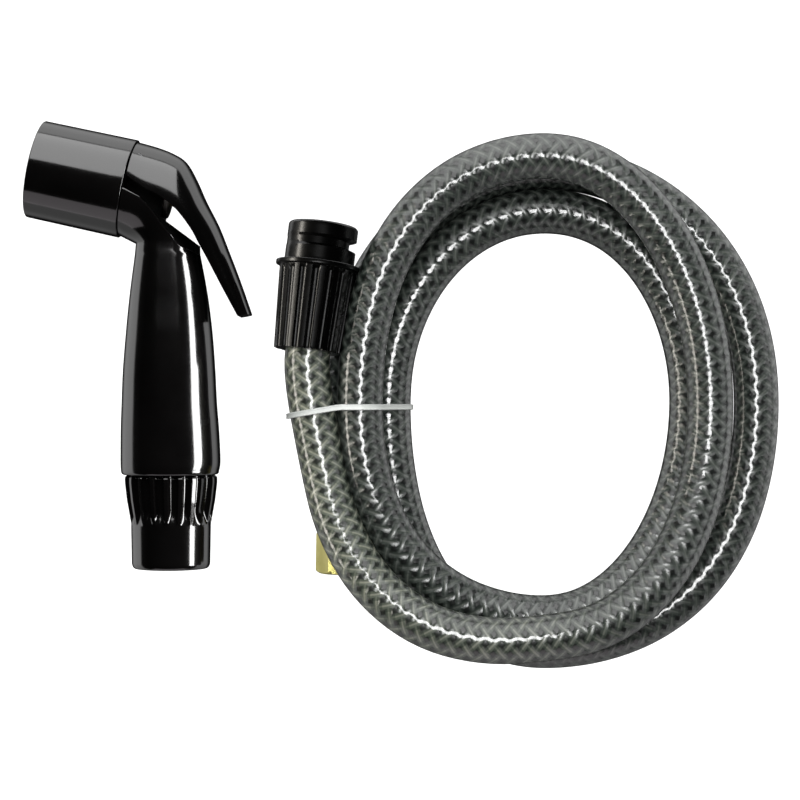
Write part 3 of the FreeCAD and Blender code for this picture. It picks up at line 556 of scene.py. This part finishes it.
def body_ring(near, far, half_width):
    """Return an ellipse's points, cut level with the ledge where the ellipse reaches above it."""
    centre, half = (near + far) / 2, (far - near) / 2

    def place(angle):
        return centre - half * math.cos(angle) - Vector((0, 0, half_width)) * math.sin(angle)

    def room(p):
        rel = p - HEAD_FRONT
        return ledge_height(rel.dot(BACK)) - rel.dot(ABOVE)

    def angle_where(spare):
        low, high = 0.0, math.pi
        for _ in range(40):
            middle = (low + high) / 2
            if room(place(middle)) > spare:
                low = middle
            else:
                high = middle
        return low

    # both ways below give the same number of points, so that each ring can join the next
    inner = CHORD_PARTS + 4
    if room(far) >= 0:
        last = math.pi - 0.25
        rest = [place(last + (2 * math.pi - 2 * last) * k / inner) for k in range(1, inner)]
    else:
        last = angle_where(min(LEDGE_EDGE, room(near) * 0.5))
        level = angle_where(0.0)
        width = half_width * math.sin(level)
        middle = centre - half * math.cos(level)
        inset = min(LEDGE_EDGE, width * 0.5)
        side = Vector((0, 0, 1))
        ends = []
        for sign in (-1, 1):
            start = place(-sign * last)
            corner = middle + side * (sign * width)
            stop = middle + side * (sign * (width - inset))
            ends.append([start.lerp(corner, 0.6).lerp(corner.lerp(stop, 0.6), 0.6), stop])
        chord = [ends[0][1].lerp(ends[1][1], k / CHORD_PARTS) for k in range(1, CHORD_PARTS)]
        rest = ends[0] + chord + ends[1][::-1]
    arc = [place(-last + 2 * last * k / ARC_PARTS) for k in range(ARC_PARTS + 1)]
    return arc + rest


def body_shell():
    rings = []
    for y, left, right, width in catmull(GRIP_ROWS, 5):
        rings.append(body_ring(Vector((left, y, AXIS_HEIGHT)), Vector((right, y, AXIS_HEIGHT)), width))
    seam = CAP_LENGTH + SEAM_GAP
    near_end, far_end = head_point(seam, -BACK_HALF_WIDTH), head_point(seam, BACK_HALF_WIDTH)
    near_start = Vector((GRIP_ROWS[-1][1], GRIP_ROWS[-1][0], AXIS_HEIGHT))
    turn_end = math.radians(90.0 - HEAD_TILT_DEGREES)
    for k in range(1, TURN_STEPS + 1):
        f = k / TURN_STEPS
        turn = f * turn_end
        way = Vector((math.cos(turn), math.sin(turn), 0))
        near = near_start.lerp(near_end, smoothstep(0, 1, f) * 0.4 + f * 0.6)
        length = NECK_DEPTH + (BACK_DEPTH - NECK_DEPTH) * smoothstep(0, 1, f)
        length += 4.2 * math.sin(math.pi * f) ** 2
        width = NECK_HALF_WIDTH + (BACK_HALF_WIDTH - NECK_HALF_WIDTH) * smoothstep(0, 0.9, f)
        if k == TURN_STEPS:
            near, way = near_end, (far_end - near_end).normalized()
            length, width = BACK_DEPTH, BACK_HALF_WIDTH
        rings.append(body_ring(near, near + way * length, width))
    points = [p for ring in rings for p in ring]
    around = len(rings[0])
    faces = grid_faces(len(rings), around)
    # close the end at the seam, and turn the lower end inwards round the collar's neck
    last = (len(rings) - 1) * around
    faces.append(tuple(last + k for k in range(around)))
    base = len(points)
    for k in range(around):
        points.append(COLLAR_SEAT + (rings[0][k] - COLLAR_SEAT).normalized() * COLLAR_HOLE_RADIUS)
    for k in range(around):
        points.append(points[base + k] + Vector((0, COLLAR_HOLE_DEPTH, 0)))
    for k in range(around):
        j = (k + 1) % around
        faces.append((k, base + k, base + j, j))
        faces.append((base + k, base + around + k, base + around + j, base + j))
    faces.append(tuple(base + around + k for k in reversed(range(around))))
    return make_object("body_shell", points, faces, GLOSS_BLACK, 42.0)


body = body_shell()
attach(body, "handset")


def head_core():
    """The barrel and core that carry the lever, seen only in the gap below its hood."""
    outline = ((27.1, -1.5), (27.1, 9.2), (30.5, 9.2), (30.5, 8.8), (37.9, 7.0), (37.9, -6.3), (49.0, -11.4),
               (49.6, -14.0), (40.0, -12.0), (30.0, -6.0))
    points, faces = [], []
    count = len(outline)
    rows = (-7.2, -6.8, 0.0, 6.8, 7.2)
    for z in rows:
        inset = 0.0 if abs(z) < 7 else 0.4
        for along, height in outline:
            points.append(head_point(along, height * (1 - inset * 0.05), z))
    for i in range(len(rows) - 1):
        for k in range(count):
            j = (k + 1) % count
            faces.append((i * count + k, i * count + j, (i + 1) * count + j, (i + 1) * count + k))
    faces.append(tuple(reversed(range(count))))
    faces.append(tuple((len(rows) - 1) * count + k for k in range(count)))
    return make_object("head_core", points, faces, DULL_BLACK)


core = head_core()
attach(core, "handset")
seam_profile = rounded([(20.6, 6.4), (20.6, 11.5), (26.95, 11.5), (26.95, 6.4)], 0.4, 4)
seam_wall = lathe("seam_wall", seam_profile, HEAD_FRONT, BACK, DULL_BLACK, 128)
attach(seam_wall, "handset")
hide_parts("handle_body")


# thumb lever

# each row: the ridge's place along the head and height above its axis, the same of the two edges, half of
# the width, and how square the arch is (2 makes an ellipse)
LEVER_ROWS = (
    (27.1, 13.45, 27.3, 2.7, 13.2, 2.0), (32.6, 13.1, 32.2, 0.5, 13.1, 2.0),
    (37.3, 12.3, 37.2, -0.9, 12.6, 2.1), (41.2, 10.7, 41.5, -2.9, 12.0, 2.2),
    (44.9, 6.7, 45.0, -5.6, 11.2, 2.3), (49.0, 1.1, 47.9, -8.4, 10.3, 2.4),
    (53.8, -4.8, 50.0, -11.0, 9.4, 2.5), (57.9, -10.9, 53.1, -14.6, 8.6, 2.6),
    (62.9, -18.6, 58.7, -21.4, 7.9, 2.7), (68.2, -27.3, 64.8, -28.6, 7.2, 2.8),
)
LEVER_WALL = 1.6
ARCH_PARTS = 40


def lever_shell():
    rows = catmull(LEVER_ROWS, 5)
    outer, inner = [], []
    for top_s, top_r, edge_s, edge_r, width, square in rows:
        rise = head_point(top_s, top_r) - head_point(edge_s, edge_r)
        foot = head_point(edge_s, edge_r)
        lift_dir = rise.normalized()
        for store, shrink in ((outer, 0.0), (inner, LEVER_WALL)):
            for k in range(ARCH_PARTS + 1):
                angle = math.pi * k / ARCH_PARTS
                side = math.copysign(abs(math.cos(angle)) ** (2 / square), math.cos(angle)) * (width - shrink)
                lift = abs(math.sin(angle)) ** (2 / square)
                height = max(rise.length - shrink, 0.4)
                store.append(foot + Vector((0, 0, side)) + lift_dir * (height * lift))
    columns = ARCH_PARTS + 1
    count = len(rows)
    points = outer + inner
    shift = len(outer)
    faces = []
    for i in range(count - 1):
        for k in range(ARCH_PARTS):
            a = i * columns + k
            faces.append((a, a + columns, a + columns + 1, a + 1))
            b = a + shift
            faces.append((b, b + 1, b + columns + 1, b + columns))
        for k in (0, ARCH_PARTS):
            a = i * columns + k
            quad = (a, a + shift, a + shift + columns, a + columns)
            faces.append(quad if k == 0 else tuple(reversed(quad)))
    for k in range(ARCH_PARTS):
        faces.append((k, k + 1, k + 1 + shift, k + shift))
    tip = (count - 1) * columns
    faces.append(tuple(tip + k for k in reversed(range(columns))))
    faces.append(tuple(tip + shift + k for k in range(columns)))
    return make_object("lever_shell", points, faces, GLOSS_BLACK, 40.0)


lever = lever_shell()
stand_in(lever, "trigger", "trigger_lever")


# fluted collar

COLLAR_FLUTES = 20
COLLAR_FLUTE_DEPTH = 1.55


def flute_depth(angle, count, share):
    """Return a flute's depth at an angle, from 0 to 1, for flutes that take up a share of their pitch."""
    f = (angle * count / (2 * math.pi)) % 1.0
    away = abs(f - 0.5) * 2
    if away > share:
        return 0.0
    return math.sqrt(max(0.0, 1 - (away / share) ** 2))


def collar_shape(along, angle, radius):
    if radius < 10.5:
        return radius
    depth = COLLAR_FLUTE_DEPTH * flute_depth(angle, COLLAR_FLUTES, 0.72)
    fade = 1 - smoothstep(9.5, 14.5, along)
    start = smoothstep(-0.5, 0.6, along)
    return radius - depth * fade * start


collar_outline = [(-5.0, 10.0), (0.15, 10.0), (0.15, 12.4), (0.7, 13.0), (2.2, 13.0), (7.0, 12.45),
                  (14.0, 11.2), (25.1, 11.0), (26.0, 10.7), (26.4, 10.2), (26.4, 10.0), (7.0, 10.0),
                  (7.0, 6.6), (-5.0, 6.6)]
collar_outline = subdivided(rounded(collar_outline, 0.35, 3), 0.9)
collar = lathe("collar_shell", collar_outline, COLLAR_SEAT, (0, -1, 0), GLOSS_BLACK, 320, collar_shape)
stand_in(collar, "handset", "hose_collar")


# coupling sleeve

SLEEVE_FLUTES = 18
SLEEVE_FLUTE_DEPTH = 0.75


def sleeve_shape(along, angle, radius):
    """Cut flutes in the skirt, and a groove in the spigot that is deeper on one side."""
    if radius < 9.0:
        return radius
    if along < 23.0:
        return radius - SLEEVE_FLUTE_DEPTH * flute_depth(angle, SLEEVE_FLUTES, 0.62)
    if 29.4 < along < 31.3:
        return radius - 1.05 - 0.95 * math.cos(angle)
    return radius


sleeve_outline = [(0.0, 6.75), (0.0, 9.6), (23.3, 10.9), (23.4, 12.0), (24.6, 12.0), (24.6, 9.8),
                  (29.45, 9.8), (31.25, 9.8), (35.2, 9.8), (COUPLING_LENGTH, 9.2), (COUPLING_LENGTH, 8.0),
                  (33.8, 8.0), (33.8, 5.3), (17.6, 5.3), (17.6, 7.7), (14.6, 7.7), (14.6, 6.75)]
sleeve_outline = subdivided(rounded(sleeve_outline, 0.3, 3), 0.8)
sleeve = lathe("sleeve_shell", sleeve_outline, COUPLING_FOOT, TOWARD_SPIGOT, SATIN_BLACK, 288, sleeve_shape)
stand_in(sleeve, "coupling", "coupling_sleeve")


# brass end

def crimp_profile():
    """Return the profile of a sleeve with three crimped grooves."""
    profile = [(0.0, 6.36), (0.0, 6.9)]
    for step in range(3):
        middle = 3.0 + step * 3.6
        profile += [(middle - 1.3, 7.1), (middle - 0.6, 6.75), (middle + 0.6, 6.75), (middle + 1.3, 7.1)]
    return profile + [(13.4, 7.1), (13.4, 6.36)]


crimp_outline = subdivided(rounded(crimp_profile(), 0.3, 3), 1.0)
crimp = lathe("crimp_sleeve", crimp_outline, FITTING_FOOT - OUT_OF_FITTING * (NUT_LENGTH + FERRULE_LENGTH),
              OUT_OF_FITTING, BRASS, 128)
stand_in(crimp, "handset", "end_ferrule")


def nut_shape(along, angle, radius):
    """Cut six flats, with chamfered corners at both ends."""
    if radius < 6.0:
        return radius
    sector = math.pi / 3
    turn = angle % sector - sector / 2
    flat = NUT_FLAT / math.cos(turn)
    edge = min(along, NUT_LENGTH - along)
    return min(flat, radius, 6.55 + 1.2 * min(1.0, edge / 0.8) ** 0.6)


nut_outline = [(0.0, 3.68), (0.0, 7.74), (NUT_LENGTH, 7.74), (NUT_LENGTH, 4.6), (7.0, 4.6), (7.0, 5.2),
               (1.6, 5.2), (1.6, 3.68)]
nut_outline = subdivided(nut_outline, 0.4)
nut = lathe("nut_body", nut_outline, FITTING_FOOT - OUT_OF_FITTING * NUT_LENGTH, OUT_OF_FITTING, BRASS, 240,
            nut_shape)
stand_in(nut, "nut", "end_nut")


# tie round the strands; to the left of TIE_LEVEL_FROM it slopes down by TIE_FALL of the distance

TIE_Y = -17.4
TIE_WIDTH = 1.7
TIE_LEVEL_FROM = 57.0
TIE_FALL = 0.17
TIE_THICKNESS = 0.7
TIE_GAP = 0.12


def crossings(y):
    """Return where the hose crosses y on the coil's left side, as (x, z)."""
    found = []
    for a, b in zip(hose_points, hose_points[1:]):
        if (a.y - y) * (b.y - y) < 0 and a.x < COIL_X:
            p = a.lerp(b, (y - a.y) / (b.y - a.y))
            found.append((p.x, p.z))
    return found


def belt(centres, radius, steps=10):
    """Return the points of a belt round equal circles, anticlockwise."""
    def turn(a, b, c):
        return (b[0] - a[0]) * (c[1] - a[1]) - (b[1] - a[1]) * (c[0] - a[0])

    ordered = sorted(centres)
    hull = []
    for sweep in (ordered, ordered[::-1]):
        start = len(hull)
        for p in sweep:
            while len(hull) >= start + 2 and turn(hull[-2], hull[-1], p) <= 0:
                hull.pop()
            hull.append(p)
        hull.pop()
    result = []
    count = len(hull)
    for i in range(count):
        before, here, after = hull[i - 1], hull[i], hull[(i + 1) % count]
        a0 = math.atan2(-(here[0] - before[0]), here[1] - before[1])
        a1 = math.atan2(-(after[0] - here[0]), after[1] - here[1])
        while a1 < a0:
            a1 += 2 * math.pi
        for k in range(steps + 1):
            a = a0 + (a1 - a0) * k / steps
            result.append((here[0] + math.cos(a) * radius, here[1] + math.sin(a) * radius))
        end = result[-1]
        goal = (after[0] + math.cos(a1) * radius, after[1] + math.sin(a1) * radius)
        for k in range(1, 8):
            f = k / 8
            result.append((end[0] + (goal[0] - end[0]) * f, end[1] + (goal[1] - end[1]) * f))
    return result


def cable_strap():
    centres = crossings(TIE_Y)
    inner = belt(centres, HOSE_RADIUS + TIE_GAP)
    outer = belt(centres, HOSE_RADIUS + TIE_GAP + TIE_THICKNESS)
    half = TIE_WIDTH / 2
    # across the strap: share of its thickness, and distance from its middle, with a shallow groove
    profile = ((0, -half), (1, -half + 0.2), (1, -0.4), (0.88, -0.32), (0.88, 0.32), (1, 0.4),
               (1, half - 0.2), (0, half))
    points = []
    for share, off in profile:
        for (xi, zi), (xo, zo) in zip(inner, outer):
            x = xi + (xo - xi) * share
            fall = max(0.0, TIE_LEVEL_FROM - x) * TIE_FALL
            points.append(Vector((x, TIE_Y + off - fall, zi + (zo - zi) * share)))
    faces = grid_faces(len(profile), len(inner), closed_rows=True)
    return make_object("tie_strap", points, faces, NYLON, 30.0)


strap = cable_strap()
stand_in(strap, "handset", "cable_tie")


# floor and light

FLOOR_HALF = 1500.0
FLOOR_LEVEL = -0.05


def stage_floor():
    corners = ((-1, -1), (1, -1), (1, 1), (-1, 1))
    points = [Vector((x * FLOOR_HALF, y * FLOOR_HALF, FLOOR_LEVEL)) for x, y in corners]
    material, tree, shader = new_material("pale_floor")
    color = ramp(tree, noise(tree, 6.0, 2.0), ((0.3, (0.93, 0.93, 0.93)), (0.8, (0.96, 0.96, 0.96))))
    tree.links.new(color, shader.inputs["Base Color"])
    shader.inputs["Roughness"].default_value = 0.9
    floor = make_object("floor", points, [(0, 1, 2, 3)], material)
    return floor


floor = stage_floor()


def group_of(name, things):
    group = bpy.data.collections.new(name)
    for thing in things:
        group.objects.link(thing)
    return group


def area_light(name, reached, place, aim, size_x, size_y, power, color=(1.0, 1.0, 1.0), roll="Y"):
    """Add a light that reaches only some things; roll Y turns its own Y upwards, and Z leaves it unturned."""
    data = bpy.data.lights.new(name, "AREA")
    data.shape = "RECTANGLE"
    data.size, data.size_y = size_x, size_y
    data.energy = power
    data.color = color
    light = bpy.data.objects.new(name, data)
    bpy.context.scene.collection.objects.link(light)
    light.location = place
    light.rotation_mode = "QUATERNION"
    light.rotation_quaternion = (Vector(aim) - Vector(place)).to_track_quat("-Z", roll)
    light.light_linking.receiver_collection = group_of(name + "_reach", reached)
    return light


floor.visible_glossy = False
floor.visible_diffuse = False


def cad_nodes(*names):
    return [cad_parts[node_name] for node_name in names]


hose_side = [hose, crimp, nut, strap] + cad_nodes("end_tail", "end_washer")
coupling_side = [sleeve] + cad_nodes("hose_tail", "coupling_washer", "snap_ring")
handset_side = [cap, body, lever, collar] + cad_nodes(
    "spray_face", "face_seal", "cap_seal", "spring_guide", "valve_spring", "valve_stem", "valve_disc",
    "valve_clip", "stem_seal", "gland_bush", "lever_pin", "inlet_washer", "inlet_screen")

BOX_PLACE, BOX_AIM = (0.05, 0.762, 0.533), (0.05, 0.0, 0.0)
WARM, PINKISH = (1.0, 0.95, 0.86), (1.0, 0.93, 0.97)

# the first makes the fine highlight along the hose's strands; the other four fill in hose and coupling
area_light("overhead", hose_side, (0.085, 0.035, 0.62), (0.085, 0.035, 0.0), 0.14, 0.17, 2.9)
area_light("right_fill", hose_side, (0.8, 0.02, 0.33), (0.11, 0.0, 0.0), 0.3, 0.8, 1.3, roll="Z")
area_light("hose_box", hose_side, BOX_PLACE, BOX_AIM, 1.2, 1.21, 13.0)
area_light("left_glow", [hose] + coupling_side, (-0.75, 0.0, 0.26), (0.05, 0.0, 0.02), 0.16, 0.8, 5.5,
           WARM, roll="Z")
area_light("sleeve_lamp", coupling_side, (0.03, 0.02, 0.62), (0.05, 0.02, 0.02), 0.06, 0.25, 0.4)

# the handset's long edge of light on its right, and soft light from +Y and from -Y
area_light("right_strip", [cap, body, collar], (0.86, 0.02, 0.27), (0.01, 0.0, 0.014), 0.34, 0.75, 18.0,
           roll="Z")
area_light("top_box", handset_side, BOX_PLACE, BOX_AIM, 1.2, 1.21, 21.0)
area_light("low_box", handset_side + hose_side, (0.0, -0.87, 0.25), (0.0, 0.0, 0.0), 1.2, 0.6, 2.4, PINKISH)

# an even light on the floor alone, in which the part casts no shadow
wash = area_light("floor_wash", [floor], (0.07, 0.0, 1.4), (0.07, 0.0, 0.0), 2.4, 2.4, 60.0)
wash.light_linking.blocker_collection = group_of("floor_wash_shadows", [floor])


# surroundings, seen in reflections and beyond the floor: a pale band below the horizon, stronger towards
# +Y, and dark above it

world = bpy.data.worlds.new("studio")
bpy.context.scene.world = world
world.use_nodes = True
sky = world.node_tree
background = sky.nodes["Background"]
way = sky.nodes.new("ShaderNodeTexCoord")
split = sky.nodes.new("ShaderNodeSeparateXYZ")
sky.links.new(way.outputs["Generated"], split.inputs[0])
rise = math_node(sky, "MULTIPLY_ADD", split.outputs[2], 0.5, 0.5)
shade = ramp(sky, rise, ((0.07, (0.006, 0.006, 0.006)), (0.16, (0.45, 0.45, 0.45)),
                         (0.46, (0.95, 0.95, 0.95)), (0.51, (0.02, 0.02, 0.02)),
                         (0.7, (0.003, 0.003, 0.003))))
sky.links.new(shade, background.inputs[0])
behind = math_node(sky, "MULTIPLY_ADD", split.outputs[1], 0.5, 0.5)
side_share = ramp(sky, behind, ((0.1, (0.3, 0.3, 0.3)), (0.45, (0.85, 0.85, 0.85)), (0.9, (1.0, 1.0, 1.0))))
strength = math_node(sky, "MULTIPLY", side_share, 2.2)
sky.links.new(strength, background.inputs[1])
world.cycles_visibility.diffuse = False
bpy.context.scene.view_settings.view_transform = "Standard"

bpy.context.view_layer.update()
